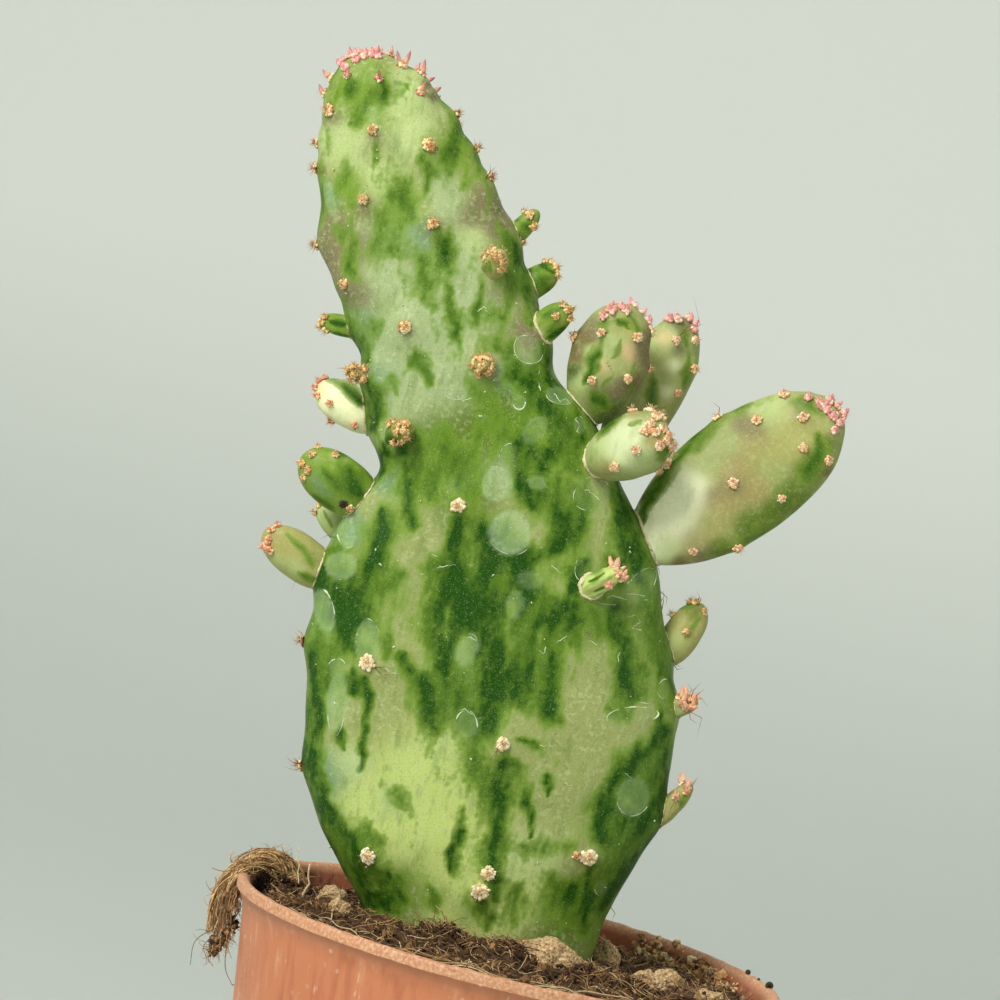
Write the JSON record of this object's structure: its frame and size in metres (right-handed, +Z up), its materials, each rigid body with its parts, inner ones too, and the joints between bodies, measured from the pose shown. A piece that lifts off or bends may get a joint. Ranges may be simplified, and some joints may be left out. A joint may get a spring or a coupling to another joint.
{
  "type": "variegated drooping prickly pear in a small nursery pot",
  "caption": "Young variegated prickly pear with a waisted flat stem that leans over, small side pads and buds, rooted in a thin plastic nursery pot.",
  "frame": {"origin": "middle of the pot's flat bottom, on the surface that the pot stands on", "axes": "+Z up along the pot's axis, -Y out of the plant's broad front face, +X to the right of a viewer of that face; the stem leans to -X"},
  "size_m": [0.0778, 0.065, 0.1534],
  "materials": {
    "pot": "satin terracotta plastic, scuffed at the rim",
    "soil": "rough dark peat with fibres",
    "stem_skin": "satin waxy cactus skin, dark green on pale green",
    "pad_skin": "satin waxy young cactus skin, pale olive to cream",
    "chip": "rough pale bark and lime chips",
    "coir": "matted coconut fibre"
  },
  "bodies": {
    "root": {"pot": "pot", "soil": "soil", "stem": "stem_skin", "pad_right_long": "pad_skin", "pad_right_upper": "pad_skin", "pad_right_back": "pad_skin", "pad_right_front": "pad_skin", "chip_1": "chip", "chip_2": "chip", "chip_3": "chip", "chip_4": "chip", "chip_5": "chip", "chip_6": "chip", "chip_7": "chip", "coir": "coir"}
  },
  "joints": []
}
